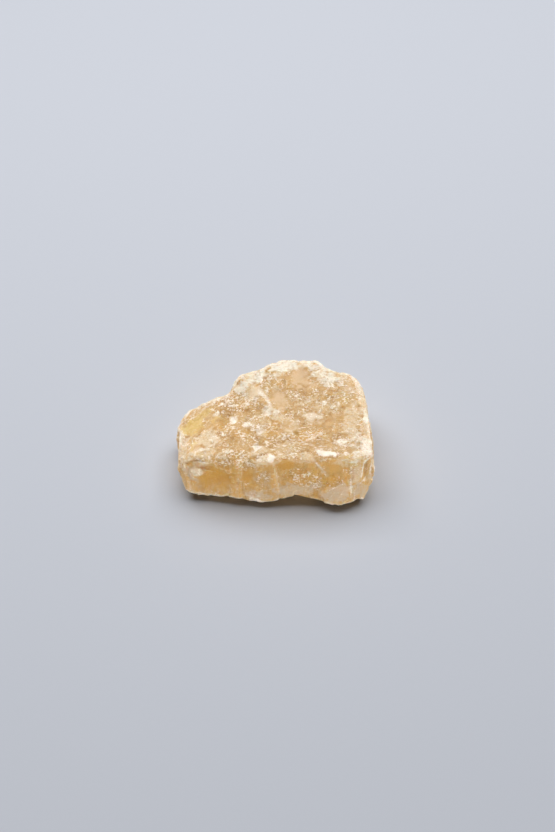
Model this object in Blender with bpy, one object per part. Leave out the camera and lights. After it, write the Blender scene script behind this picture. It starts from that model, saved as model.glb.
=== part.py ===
"""A raw piece of orange calcite: one broken chunk of massive calcite, 61 mm long, lying on its broken base.

Frame: metres, +Z up. The origin is at the middle of the piece's footprint box, on the surface that it
lies on. +X runs along its length, -Y is the cleaved front and +Y the weathered back.

The chunk is cleaved out of blocks. Each block starts as a cube and keeps what lies inside its cleavage
planes. The blocks are fused, notched and chipped, and the skin is then weathered into gentle waves and
blunt ridges.
"""

import math

import bmesh
import bpy
import numpy as np
from mathutils import Vector, noise

MM = 0.001
LENGTH = 61.0  # millimetres, as are all sizes below
VOXEL = 0.5
WEAR, WEAR_PASSES = 0.5, 4  # how far, and how often, each point is drawn to its neighbours
TRIANGLES = 9000
FOOT_TRUE = 0.05  # what lies lower than this lies on the ground

# A cleavage plane is a point on it in millimetres, the heading that it faces (0 is +X, 90 is +Y, -90 is
# the front) and its rise above the horizon, both in degrees.
TOP = ((4, 0, 20.6), -92, 83)
RIGHT_BLOCK = {
    "top": TOP,
    "back_bevel": ((4, 15.4, 22.0), 86, 40),
    "back": ((2, 20.0, 10), 90, 6),
    "back_under": ((2, 19.8, 8), 92, -34),
    "back_left_bevel": ((-6, 14.9, 20.8), 113, 38),
    "back_left": ((-12.4, 13.6, 13), 120, 8),
    "back_right_bevel": ((17, 14.4, 21), 70, 44),
    "back_right": ((20, 17.6, 12), 68, 4),
    "right_corner_bevel": ((26.3, 9.9, 20), 36, 44),
    "right_corner": ((28.3, 9.2, 12), 30, 6),
    "right_bevel": ((27.1, 0, 18.8), 8, 48),
    "right": ((28.3, -8, 11), 4, 8),
    "right_under": ((28.2, -8, 7.2), 4, -30),
    "front_corner": ((27.3, -17.7, 10), -45, 6),
    "front_corner_band": ((24.2, -19.8, 10), -70, 12),
    "front_corner_under": ((27.4, -19.6, 1.6), -42, -52),
    "front": ((8, -21.3, 3), -91.5, 9),
    "front_bevel": ((8, -19.1, 17.8), -91, 52),
    "front_facet": ((9.3, -19.5, 17.4), -84, 18),
    "front_under": ((6, -21.4, 2.9), -90, -62),
    "right_shoulder": ((23.8, 13.2, 18), 50, 28),
    "front_corner_side": ((28.7, -15.5, 9), -20, 0),
    "left_riser": ((-6.2, 3.5, 20.5), -139, 42),
    "left_corner": ((-11.3, 14.2, 19), 142, 28),
    "left_end": ((-13.2, 0, 19), 182, 14),
}
CREST_BLOCK = {
    "top": ((4, 10, 22.4), -84, 84),
    "front": ((6, 6, 21.7), -96, 72),
    "back_bevel": ((4, 17.7, 22.2), 90, 36),
    "back": ((2, 20.6, 10), 92, 8),
    "back_under": ((2, 20.0, 7), 88, -38),
    "left_bevel": ((-5, 15.6, 20.8), 116, 34),
    "right_bevel": ((14.2, 17, 20), 42, 30),
    "right": ((15.2, 14, 20), 10, 20),
    "left": ((-6, 12, 18), 160, 10),
    "front_limit": ((0, -5, 0), -90, 0),
}
MIDDLE_BLOCK = {
    "top": TOP,
    "front": ((-1, -21.2, 3), -94, 9.5),
    "front_under": ((-5, -21.1, 2.4), -97, -60),
    "right": ((-0.2, -10, 3), 0, -4),
    "back": ((0, -12, 0), 90, 0),
    "left": ((-10.5, -20, 3), 180, 0),
}
LOBE = ((-10, -8, 19.0), 167, 82.4)
LOBE_BLOCK = {
    "top": LOBE,
    "top_right": TOP,
    "front": ((8, -21.2, 3), -91.5, 9),
    "back_bevel": ((-14, 11.7, 14.4), 128, 40),
    "back": ((0, 11, 8), 90, 2),
    "left": ((-12, 0, 10), 180, 0),
    "right": ((14, 0, 0), 0, 0),
    "under": ((0, 0, 9), 0, -90),
}
LEFT_BLOCK = {
    "top": LOBE,
    "top_right": TOP,
    "end_slope": ((-18, -6, 17.6), 184, 62),
    "back_bevel": ((-20, 8.1, 14.4), 119, 40),
    "back": ((-20, 9.8, 8), 113, 2),
    "back_under": ((-20, 9.6, 6), 113, -36),
    "end_corner": ((-29.4, 4.0, 8), 150, 10),
    "end_bevel": ((-29.0, -4, 12), 176, 44),
    "end": ((-30.2, -4, 8), 184, 4),
    "end_under": ((-30.2, -6, 3.6), 192, -40),
    "end_front": ((-28.5, -15.4, 6), -153, 3),
    "end_front_under": ((-27.6, -17.2, 3.4), -148, -42),
    "front": ((-16, -20.4, 2.8), -98, 12),
    "front_under": ((-16, -20.5, 2.7), -100, -60),
    "inner": ((-10.4, 0, 10), 0, 0),
}
# A hollow or a lump is its middle, its half widths along X, Y and Z, and how far the skin is set out there.
HOLLOWS = {
    "left_front": ((-19, -19.4, 9), (8.8, 5, 6.4), -0.9),
    "under_slab": ((-24.0, -17.8, 13.0), (6.0, 3.5, 1.5), -1.5),
    "ridge_dip": ((-10.5, -19, 17.8), (4.2, 3, 2.2), -0.9),
    "front_middle": ((8, -20.4, 12), (8, 4, 6), -0.6),
    "front_right": ((19, -20.4, 12.5), (5, 4, 4.5), -0.6),
    "arch": ((6.3, -21.4, 0.8), (4.8, 5, 4.4), -1.1),
    "corner_groove": ((24.0, -21.2, 4.6), (1.3, 3, 7), -0.4),
    "pentagon": ((7.6, 11, 22), (4.2, 4.6, 3), -0.7),
    "fissure": ((13.6, 10, 21.8), (1.0, 5, 2.4), -0.5),
    "back_middle": ((5, 20.5, 10), (9, 4, 7.5), -1.3),
    "back_left": ((-19, 9.6, 6), (7, 5, 5.5), -1.0),
    "back_right": ((21, 17, 9), (5, 6, 6), -0.9),
    "right_end": ((29.6, -4, 9), (3, 7, 5.5), -1.0),
    "left_end": ((-30.4, -5, 7), (3, 6, 4.5), -0.8),
    "top_left": ((-15, -2, 18.4), (4, 5, 3), -0.5),
    "top_right": ((20, 3, 20.8), (5, 3.4, 3), -0.4),
}
# Flat-floored hollows with steep walls.
WINDOWS = {
    "front_right_window": ((27.6, -17, 12), (1.4, 6, 4.8), -0.8),
}
LUMPS = {
    "shell": ((17.4, -22.0, 3.0), (6.8, 5, 7.2), 1.3),
    "corner_foot": ((24.4, -20.8, 0.8), (2.6, 3, 3), 0.9),
    "middle_foot": ((-6.5, -22.0, 2.0), (5.2, 4, 4.6), 0.9),
    "corner_chip": ((-24.2, -17.8, 9.6), (2.6, 2.4, 2.0), 1.3),
    "flake": ((-3.4, -18.6, 17.4), (3.6, 3, 2.6), 0.8),
    "white_corner": ((28.2, -9, 16), (3, 4.4, 4), 0.3),
    "left_slab": ((-24, -14, 14.4), (6.4, 6.4, 3.2), 1.6),
}
# The front is cleaved in slabs: each one stands further out towards its right edge, where it breaks off.
# A slab is its left and its right edge, at the height SLAB_LEVEL, and how far it stands out at the right.
SLABS = ((-27.0, -10.5, 0.4), (-10.5, -0.2, 0.6), (-0.2, 22.8, 0.4))
SLAB_LEVEL = 10.0
SLAB_LEAN = 0.06
SLAB_BREAK = 0.6

# How the skin is set out across a feature: the powers that square its rim and that shape its slope.
HOLLOW_FORM = (2, 1.0)
WINDOW_FORM = (6, 0.5)
LUMP_FORM = (2, 1.5)

# The weathered skin: gentle waves and the blunt ridges between old breaks, each as a width and a height.
WAVES = (9.0, 0.25)
RIDGES = ((7.5, 0.7), (3.2, 0.35))
SKIN_SHIFT = 0.2


def facing(heading, rise):
    flat = math.cos(math.radians(rise))
    return Vector((flat * math.cos(math.radians(heading)), flat * math.sin(math.radians(heading)),
                   math.sin(math.radians(rise))))


def add_block(blocks, planes, size=120.0, below=3.0):
    """Cleaves a convex block out of a cube, keeping what lies inside all the planes, and adds it."""
    shape = bmesh.new()
    bmesh.ops.create_cube(shape, size=size)
    planes = [((0, 0, -below), 0, -90)] + list(planes.values())
    for point, heading, rise in planes:
        everything = shape.verts[:] + shape.edges[:] + shape.faces[:]
        bmesh.ops.bisect_plane(shape, geom=everything, plane_co=point, plane_no=facing(heading, rise),
                               clear_outer=True)
        bmesh.ops.holes_fill(shape, edges=shape.edges)
    bmesh.ops.recalc_face_normals(shape, faces=shape.faces)
    bmesh.ops.scale(shape, vec=(MM, MM, MM), verts=shape.verts)
    mesh = bpy.data.meshes.new("block")
    shape.to_mesh(mesh)
    shape.free()
    blocks.from_mesh(mesh)
    bpy.data.meshes.remove(mesh)


def bake_modifiers(target):
    """Replaces the object's mesh by the one that its modifiers make."""
    graph = bpy.context.evaluated_depsgraph_get()
    mesh = bpy.data.meshes.new_from_object(target.evaluated_get(graph))
    target.modifiers.clear()
    target.data = mesh


def swelling(points, features, form):
    """How far the skin is set out by lumps, or in by hollows: most in the middle, nothing from the rim on."""
    squareness, slope = form
    out = np.zeros(len(points))
    for middle, half_widths, height in features.values():
        away = (np.abs(points - np.array(middle)) / np.array(half_widths)) ** squareness
        out += height * np.clip(1 - away.sum(axis=1), 0, None) ** slope
    return out


def slabs(points, normals):
    along = points[:, 0] + SLAB_LEAN * (points[:, 2] - SLAB_LEVEL)
    out = np.zeros(len(points))
    for left, right, height in SLABS:
        out += np.interp(along, (left, right, right + SLAB_BREAK), (0, height, 0))
    return out * np.clip(-normals[:, 1], 0, 1) ** 2


def weathering(points):
    wave_width, wave_height = WAVES
    out = np.zeros(len(points))
    for i, point in enumerate(points):
        p = Vector(point)
        waves = wave_height * noise.fractal(p / wave_width, 1.0, 2.0, 3)
        ridges = sum(height * abs(noise.noise(p / width)) for width, height in RIDGES)
        out[i] = SKIN_SHIFT + waves - ridges
    return out


def vertex_values(mesh, name):
    values = np.empty(3 * len(mesh.vertices), np.float32)
    mesh.vertices.foreach_get(name, values)
    return values.reshape(-1, 3)


def move_vertices(mesh, points):
    mesh.vertices.foreach_set("co", points.ravel())
    mesh.update()


def shape_skin(mesh):
    points, normals = vertex_values(mesh, "co") / MM, vertex_values(mesh, "normal")
    out = swelling(points, HOLLOWS, HOLLOW_FORM) + swelling(points, WINDOWS, WINDOW_FORM)
    out += swelling(points, LUMPS, LUMP_FORM) + slabs(points, normals) + weathering(points)
    move_vertices(mesh, (points + normals * out[:, None]) * MM)


def cut_foot(mesh):
    """Cuts the piece off flat at the height 0, where it rests."""
    shape = bmesh.new()
    shape.from_mesh(mesh)
    everything = shape.verts[:] + shape.edges[:] + shape.faces[:]
    bmesh.ops.bisect_plane(shape, geom=everything, plane_co=(0, 0, 0), plane_no=(0, 0, -1), clear_outer=True)
    bmesh.ops.holes_fill(shape, edges=shape.edges)
    bmesh.ops.triangulate(shape, faces=shape.faces)
    shape.to_mesh(mesh)
    shape.free()


def set_on_origin(mesh):
    """Scales the piece to its length, puts its footprint box on the origin and trues up its flat foot."""
    points = vertex_values(mesh, "co") / MM
    low, high = points.min(axis=0), points.max(axis=0)
    points[:, :2] -= (low[:2] + high[:2]) / 2
    points *= LENGTH / (high[0] - low[0])
    points[points[:, 2] < FOOT_TRUE, 2] = 0
    move_vertices(mesh, points * MM)


for old in list(bpy.data.objects):
    bpy.data.objects.remove(old)

blocks = bmesh.new()
for planes in (RIGHT_BLOCK, CREST_BLOCK, MIDDLE_BLOCK, LOBE_BLOCK, LEFT_BLOCK):
    add_block(blocks, planes)
mesh = bpy.data.meshes.new("calcite")
blocks.to_mesh(mesh)
blocks.free()
calcite = bpy.data.objects.new("calcite", mesh)
bpy.context.collection.objects.link(calcite)
remesh = calcite.modifiers.new("grain", "REMESH")
remesh.mode = "VOXEL"
remesh.voxel_size = VOXEL * MM
worn = calcite.modifiers.new("worn", "SMOOTH")
worn.factor = WEAR
worn.iterations = WEAR_PASSES
bake_modifiers(calcite)
shape_skin(calcite.data)
cut_foot(calcite.data)
decimate = calcite.modifiers.new("facets", "DECIMATE")
decimate.ratio = TRIANGLES / len(calcite.data.polygons)
bake_modifiers(calcite)
set_on_origin(calcite.data)

stone = bpy.data.materials.new("orange_calcite")
stone.use_nodes = True
shader = stone.node_tree.nodes["Principled BSDF"]
shader.inputs["Base Color"].default_value = (0.72, 0.44, 0.17, 1)
shader.inputs["Roughness"].default_value = 0.5
shader.inputs["Metallic"].default_value = 0
calcite.data.materials.append(stone)
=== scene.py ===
"""The looks of the raw piece of orange calcite.

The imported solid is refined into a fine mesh. Its skin carries the sugary break, small cleavage steps, chips
and bruises, and it gets a translucent honey-orange material. Lengths are in metres unless a name ends in _MM
or a comment says otherwise.
"""
import math

import bpy
import numpy as np
from mathutils import Matrix, Vector, noise
from mathutils.bvhtree import BVHTree


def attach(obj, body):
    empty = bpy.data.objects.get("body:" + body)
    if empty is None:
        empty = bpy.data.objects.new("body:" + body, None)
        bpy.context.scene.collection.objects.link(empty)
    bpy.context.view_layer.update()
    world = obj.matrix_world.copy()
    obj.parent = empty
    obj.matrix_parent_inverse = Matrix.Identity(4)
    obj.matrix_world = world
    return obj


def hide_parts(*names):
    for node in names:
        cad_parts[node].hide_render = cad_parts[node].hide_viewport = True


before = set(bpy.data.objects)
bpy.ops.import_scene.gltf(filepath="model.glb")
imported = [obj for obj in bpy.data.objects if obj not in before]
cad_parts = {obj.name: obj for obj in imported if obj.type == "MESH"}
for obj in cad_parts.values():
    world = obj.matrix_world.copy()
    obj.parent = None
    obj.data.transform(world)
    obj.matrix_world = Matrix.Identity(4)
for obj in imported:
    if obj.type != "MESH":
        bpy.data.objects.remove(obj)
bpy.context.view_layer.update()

MM = 0.001

# The photograph's frame and the camera that took it.
IMAGE_WIDTH, IMAGE_HEIGHT = 555, 832
FOCAL_PIXELS = 1388
SENSOR_WIDTH_MM = 36.0
NEAREST = 0.01  # the camera shows nothing that is closer
CAMERA_ELEVATION = math.radians(47.25)
CAMERA_DISTANCE = 0.42
CAMERA_TARGET = Vector((0.00105, 0.0, 0.0179))
CAMERA_BACK = Vector((0, -math.cos(CAMERA_ELEVATION), math.sin(CAMERA_ELEVATION)))
CAMERA_UP = Vector((0, math.sin(CAMERA_ELEVATION), math.cos(CAMERA_ELEVATION)))
CAMERA_PLACE = CAMERA_TARGET + CAMERA_BACK * CAMERA_DISTANCE
PIXELS_PER_MM = FOCAL_PIXELS / CAMERA_DISTANCE * MM

# Places on the stone where its colour changes. Each is a pixel of the photograph, half a width and half a
# height in pixels, a tilt in degrees, clockwise, and a strength. First the bruises, flecks and sharp edges.
WHITE_MARKS = {
    "left_bruise": (233.6, 420.0, 3.6, 4.0, 0, 1.0),
    "left_bruise_right": (247.1, 424.3, 4.3, 3.1, 0, 0.8),
    "middle_bruise": (260.0, 430.7, 3.2, 3.6, 30, 0.8),
    "left_fleck": (221.4, 404.3, 4.0, 1.7, -10, 0.9),
    "left_fleck_low": (217.1, 413.6, 2.9, 1.7, -25, 0.8),
    "left_row": (234.3, 405.6, 7.1, 1.3, 4, 0.8),
    "yellow_row": (192.9, 417.9, 5.0, 1.3, -5, 0.7),
    "left_dot": (222.4, 433.6, 1.6, 2.1, 0, 1.0),
    "ridge_bruise": (255.7, 447.1, 4.6, 4.0, -30, 1.0),
    "slab_fleck": (190.0, 448.9, 2.6, 1.3, -20, 1.0),
    "slab_front": (201.4, 450.6, 8.6, 2.0, -4, 0.6),
    "slab_right": (214.4, 440.9, 5.0, 7.6, 0, 0.5),
    "riser_top": (260.5, 393.6, 4.3, 2.9, 35, 0.9),
    "pale_oval": (312.1, 416.4, 9.0, 3.6, 3, 0.45),
    "back_dot": (261.7, 379.3, 2.1, 1.7, 0, 1.0),
    "back_fleck": (304.0, 418.0, 1.6, 1.2, 0, 0.6),
    "right_dot": (324.3, 402.9, 2.1, 2.1, 0, 0.9),
    "right_dot_pair": (338.6, 404.3, 1.7, 2.6, 0, 0.8),
    "right_flakes": (341.4, 441.4, 5.7, 2.4, -8, 0.8),
    "white_bar": (326.4, 453.8, 10.5, 2.6, 9, 1.2),
    "white_bar_end": (346.9, 453.0, 3.6, 1.7, -6, 0.8),
    "corner_white": (361.4, 438.6, 4.6, 6.0, 0, 0.7),
    "corner_white_low": (366.5, 449.0, 7.0, 11.5, -20, 0.9),
    "corner_white_front": (357.0, 455.0, 5.0, 4.0, 0, 0.6),
    "rim_white": (365.7, 420.0, 4.3, 3.6, 30, 0.8),
    "back_right_white": (350.0, 388.6, 5.7, 4.3, 35, 0.5),
    "slab_lip": (198.0, 459.8, 10.0, 0.9, -10, 0.5),
    "flake_corner": (271.4, 458.6, 4.0, 5.0, 15, 1.1),
    "corner_edge": (363.0, 468.6, 1.0, 14.0, 9, 1.0),
    "shell_edge": (350.9, 488.0, 1.1, 9.0, -3, 1.0),
    # A thin white line along the shell's upper rim: a painted highlight where the rim catches the light.
    "shell_top_highlight": (334.5, 487.5, 12.0, 0.8, -27, 0.45),
    "shell_fan": (333.0, 494.0, 10.0, 0.7, -48, 0.35),
    "shell_fan_right": (341.0, 493.0, 8.0, 0.7, -62, 0.45),
    "window_edge": (371.0, 468.0, 1.2, 10.0, 8, 0.8),
    "window_foot": (364.5, 478.8, 5.0, 1.0, -8, 0.8),
    # A white line along the step between the middle slabs: a painted highlight where the proud edge catches
    # the light.
    "slab_edge_highlight": (277.4, 480.0, 1.0, 15.0, -9, 0.5),
    "lump": (197.1, 472.0, 6.9, 5.4, 0, 0.45),
    "fissure": (312.0, 373.5, 9.0, 0.8, 42, 0.6),
    "riser_flecks": (269.0, 403.0, 9.0, 1.8, 58, 0.7),
    "riser_flecks_low": (276.0, 412.0, 4.0, 3.0, 30, 0.7),
    "foot_left": (256.0, 500.0, 9.0, 2.2, 8, 0.9),
    "left_corner": (188.5, 483.0, 2.0, 9.0, -20, 0.4),
    "facet_streak": (317.5, 465.5, 9.0, 1.3, 40, 0.55),
    "facet_streak_low": (324.0, 474.5, 6.0, 1.0, 25, 0.45),
    "left_top_chips": (188.0, 444.0, 4.5, 1.2, -5, 0.7),
}

# Soft whitish veils.
MILKY_MARKS = {
    "rim_left": (241.5, 387.0, 9.0, 7.0, -30, 1.0),
    "rim_left_top": (258.0, 376.0, 14.0, 7.0, -20, 0.9),
    "rim_crest": (284.0, 366.0, 18.0, 6.5, -8, 1.0),
    "rim_crest_right": (312.0, 367.0, 10.0, 4.0, 15, 0.8),
    "rim_right": (326.0, 378.0, 17.0, 8.0, 12, 0.8),
    "rim_right_corner": (350.0, 388.0, 7.0, 8.0, 40, 0.3),
    "left_rim": (181.0, 464.0, 3.5, 20.0, -4, 0.35),
    "left_back_rim": (191.0, 411.5, 8.0, 2.0, -28, 0.4),
    "left_back_rim_top": (210.0, 404.0, 12.0, 2.5, -22, 0.5),
    "right_top": (354.0, 424.0, 8.0, 22.0, 0, 0.3),
    "corner_top": (356.0, 446.0, 7.0, 9.0, 0, 0.6),
    "riser_end": (268.0, 410.0, 8.0, 5.0, 30, 0.7),
    "corner_top_edge": (351.0, 461.0, 9.0, 2.5, 0, 0.7),
    "left_slab_lip": (190.0, 460.0, 5.0, 2.5, 0, 0.6),
    "lump": (197.1, 471.5, 6.5, 5.0, 0, 0.55),
    "shell": (338.0, 494.0, 12.0, 6.5, -8, 0.2),
    "foot": (253.0, 496.5, 11.0, 4.0, 5, 0.4),
    "behind_pentagon": (272.0, 378.0, 10.0, 5.0, -20, 0.6),
}

# Parts of the rim that broke off lately and aren't pale.
FRESH_MARKS = {
    "left_side": (181.0, 458.0, 6.0, 11.0, 0, 0.9),
    "shoulder": (354.0, 384.0, 10.0, 9.0, 40, 0.6),
}

CREAM_MARKS = {
    "left_slab": (207.0, 440.0, 13.0, 9.6, 0, 1.0),
    "left_slab_edge": (187.1, 438.6, 6.4, 2.4, 0, 0.9),
    "left_back": (205.0, 412.0, 8.0, 2.5, -25, 0.4),
    "riser": (254.3, 391.4, 11.0, 8.6, 20, 1.0),
    "riser_left": (244.3, 386.5, 8.6, 4.3, -30, 1.0),
    "riser_streak": (271.4, 405.7, 13.6, 2.2, 58, 0.7),
    "riser_foot": (277.5, 416.5, 7.5, 5.0, 20, 0.8),
    "right_rim": (362.9, 404.3, 5.7, 10.0, 0, 1.0),
    "right_rim_low": (366.0, 430.0, 5.0, 12.0, 0, 0.8),
    # A cream band along the same step: painted highlight on the proud edge.
    "slab_edge_highlight": (275.5, 479.0, 2.4, 15.0, -9, 0.25),
    "flake": (264.3, 460.8, 10.7, 5.6, -12, 1.0),
    "ridge_pale": (285.0, 449.0, 12.0, 8.0, -20, 0.6),
    "ridge_pale_right": (303.0, 455.0, 12.0, 3.0, 5, 0.8),
    "corner": (356.5, 470.0, 5.0, 17.0, 4, 1.0),
    "back_crest": (303.0, 365.5, 16.0, 3.5, 0, 0.9),
    "back_right_rim": (338.0, 376.0, 14.0, 3.5, 15, 0.7),
    "facet_streak": (318.6, 467.0, 10.5, 2.2, 38, 0.8),
    "back_middle": (281.0, 371.0, 9.0, 5.5, -20, 0.9),
    "back_rim_left": (250.0, 377.0, 13.0, 5.0, -25, 1.0),
    "right_top": (351.0, 425.0, 8.0, 22.0, 0, 0.8),
    "right_of_ridge": (345.0, 459.0, 10.0, 6.0, 0, 0.8),
    "ridge_line": (285.0, 461.5, 38.0, 3.5, 0, 0.6),
    "slab_front": (203.0, 454.0, 15.0, 6.0, -8, 1.0),
    "below_slab": (201.0, 465.0, 12.0, 4.5, -12, 0.9),
    "below_flake": (255.0, 465.5, 11.0, 3.0, 0, 0.6),
    "middle_diagonal": (305.0, 402.0, 27.0, 4.0, -17, 0.6),
    "below_oval": (312.0, 421.5, 14.0, 3.0, 5, 0.6),
    "left_of_pentagon": (276.0, 389.0, 5.0, 4.0, 0, 0.6),
    "right_of_pentagon": (315.0, 384.0, 6.0, 4.0, 0, 0.6),
    "facet_end": (351.0, 464.0, 11.0, 4.5, 0, 1.2),
    "pale_oval": (312.1, 416.4, 10.0, 4.4, 3, 0.8),
    "riser_end": (266.0, 410.0, 6.0, 4.5, 20, 1.0),
    "above_flake": (259.0, 451.5, 14.0, 4.0, -10, 0.9),
    "middle_band": (263.0, 424.0, 4.0, 22.0, 0, 0.6),
    "middle": (292.0, 424.0, 8.0, 10.0, 0, 0.5),
    "facet_top": (346.0, 464.0, 14.0, 4.0, 5, 1.0),
    # A pale strip left of the step between the first two slabs: a painted highlight on the slab's proud edge.
    "lit_slab_end_left": (238.0, 483.0, 4.0, 11.0, 0, 0.35),
    "right_middle": (325.0, 407.0, 16.0, 9.0, 0, 0.5),
    "corner_side": (358.0, 478.0, 4.0, 12.0, 4, 0.9),
    "right_rim_top": (354.0, 405.0, 6.0, 8.0, 0, 0.6),
}

DULL_MARKS = {
    "front_low": (294.0, 490.0, 23.0, 7.5, 0, 1.2),
    "front_low_right": (318.0, 489.0, 9.0, 6.0, 0, 0.5),
    "shell": (336.0, 493.0, 15.0, 9.0, -8, 1.0),
    "foot": (260.0, 496.0, 15.0, 6.5, 5, 1.0),
    "lump": (197.1, 471.8, 8.0, 6.2, 0, 1.2),
    "middle_slab": (264.0, 483.0, 9.0, 10.0, 0, 0.5),
    "corner_low": (363.0, 491.0, 6.0, 8.0, 0, 0.8),
    "corner_foot": (356.0, 490.0, 7.0, 9.0, 0, 0.8),
    "pale_oval": (312.1, 416.4, 11.0, 4.8, 3, 0.6),
    "riser": (256.0, 393.0, 9.0, 7.0, 20, 0.5),
    "left_foot": (215.0, 495.0, 20.0, 3.0, 3, 0.3),
    "left_rim": (183.0, 455.0, 5.0, 28.0, 0, 1.1),
    "left_back_rim": (196.0, 410.0, 14.0, 3.0, -25, 0.5),
    "right_rim": (370.0, 476.0, 4.0, 11.0, 8, 0.8),
}

YELLOW_MARKS = {
    "left_end": (194.0, 425.5, 15.0, 9.5, -5, 0.9),
    "left_back": (204.0, 414.0, 14.0, 4.5, -22, 0.7),
    "left_middle": (217.0, 418.0, 8.0, 4.0, -20, 0.5),
    "left_slab_yellow": (193.0, 447.0, 5.0, 6.0, 0, 0.6),
    "left_slab_front": (198.0, 455.0, 11.0, 4.0, -5, 0.6),
    "back_right_yellow": (343.0, 400.0, 7.0, 12.0, 20, 0.4),
    "facet_right": (351.0, 462.0, 8.0, 8.0, 0, 0.7),
    "back_left_yellow": (268.0, 372.5, 11.0, 4.0, -25, 0.5),
}

PINK_MARKS = {
    "pentagon": (300.0, 378.6, 8.6, 12.0, 0, 1.0),
    "behind_riser": (280.0, 401.0, 9.5, 9.0, 0, 0.8),
    "right_pink": (312.0, 386.0, 6.0, 5.0, 30, 0.5),
    "under_slab": (197.0, 464.5, 9.0, 4.5, -8, 0.8),
    "corner_pink": (331.0, 446.0, 17.0, 4.5, 0, 0.5),
}

HONEY_MARKS = {
    "front_top": (285.7, 465.7, 8.6, 6.4, 0, 1.0),
    "facet": (331.4, 466.5, 11.0, 5.0, 0, 0.4),
    "facet_low": (331.4, 481.5, 8.6, 5.0, -15, 1.0),
    "front_left": (217.1, 477.1, 18.0, 12.4, -10, 0.9),
    "front_left_top": (226.0, 466.0, 9.0, 5.0, -20, 0.6),
    # A darker amber strip right of the step between the first two slabs: painted shade in the recess.
    "middle_left": (247.1, 475.7, 4.7, 8.1, 0, 1.0),
    "window": (366.4, 468.6, 3.0, 8.0, 8, 0.3),
    # A thin amber line under the slab's lip: partly a dark crack and partly painted shadow under the lip.
    "under_slab": (198.0, 461.8, 10.0, 1.0, -8, 1.0),
    "front_arch": (300.0, 478.0, 10.0, 9.0, 0, 0.5),
    "left_top": (200.0, 431.0, 16.0, 4.5, 0, 0.45),
    "left_of_bruise": (222.0, 427.0, 12.0, 5.0, 10, 0.5),
    "middle_left_top": (243.0, 434.0, 13.0, 6.0, 25, 0.6),
    "middle_top": (273.0, 430.0, 8.0, 9.0, 0, 0.6),
    "middle_right_top": (309.0, 435.5, 17.0, 5.5, -5, 1.1),
    "back_left_top": (228.0, 398.0, 9.0, 4.0, -20, 0.4),
    "right_top": (331.0, 424.0, 8.0, 6.0, 0, 0.35),
}

# Shallow breaks scooped out of the skin, and flakes and lumps that stand on it. The last number is the depth
# or the height in millimetres.
SCOOPS = {
    "front_left": (216.0, 481.0, 25.0, 14.5, -8, 0.75),
    "front_left_ridge": (224.0, 464.0, 10.0, 7.0, 0, 0.9),
    "middle_ridge": (248.0, 466.0, 7.5, 5.5, -15, 0.8),
    "front_top": (290.0, 469.0, 14.0, 11.5, 0, 0.9),
    "facet": (334.0, 468.0, 14.0, 9.5, -10, 0.6),
    "window": (366.6, 468.5, 4.2, 9.5, 8, 0.7),
    "ridge_right": (317.0, 461.5, 7.0, 5.0, 20, 0.6),
    "under_flake": (258.0, 473.0, 13.0, 7.0, -8, 0.4),
    "under_slab": (198.0, 462.2, 10.0, 1.6, -8, 0.6),
    "left_bruise": (234.0, 420.0, 3.6, 4.0, 0, 0.35),
    "middle_bruise": (260.0, 430.7, 3.6, 4.6, 30, 0.35),
    "ridge_bruise": (255.7, 447.1, 4.6, 4.0, -30, 0.4),
    "rim_chip": (367.0, 430.0, 4.0, 7.0, 0, 0.6),
}

FLAKES = {
    "flake": (264.5, 460.0, 10.0, 5.0, -14, 0.45),
    "lump": (197.1, 471.4, 7.0, 5.4, 0, 0.9),
    "shell": (334.0, 495.0, 17.5, 11.5, -8, 0.45),
    "white_bar": (326.4, 453.8, 11.0, 2.8, 9, 0.3),
    "pale_oval": (312.1, 416.4, 10.7, 4.6, 3, 0.2),
    "slab": (201.0, 444.0, 16.0, 9.0, -4, 0.35),
    "corner": (365.0, 443.0, 7.0, 10.0, -10, 0.3),
}

# Ledges: two pixels of the photograph that the ledge runs between and its height in millimetres. The side on
# the right of the line, going from the first to the second, stands back.
LEDGES = {
    "left_middle": (242.0, 494.0, 242.8, 468.0, 0.3),
    "middle_right": (274.5, 464.0, 279.5, 493.0, -0.5),
    "streak": (313.5, 460.0, 326.5, 474.0, 0.35),
    "shell_right": (349.5, 479.0, 351.3, 496.0, -0.6),
    "corner": (364.5, 455.0, 360.0, 484.0, -0.5),
    "corner_pale": (354.0, 462.0, 352.5, 480.0, 0.2),
    "left_corner": (188.0, 468.0, 192.5, 487.0, 0.4),
    "left_slab": (184.0, 462.5, 208.0, 457.5, 0.5),
    "window_foot": (359.5, 479.0, 369.5, 478.0, -0.4),
}

# Marks of the same kind as the coloured ones again. Here the flecks are drawn out sideways.
DASHED_MARKS = {
    "low_top": (305.0, 440.0, 55.0, 12.0, 0, 1.0),
    "left_top": (215.0, 432.0, 25.0, 8.0, 0, 0.7),
    "left_back": (235.0, 400.0, 22.0, 8.0, 10, 0.7),
}

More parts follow.
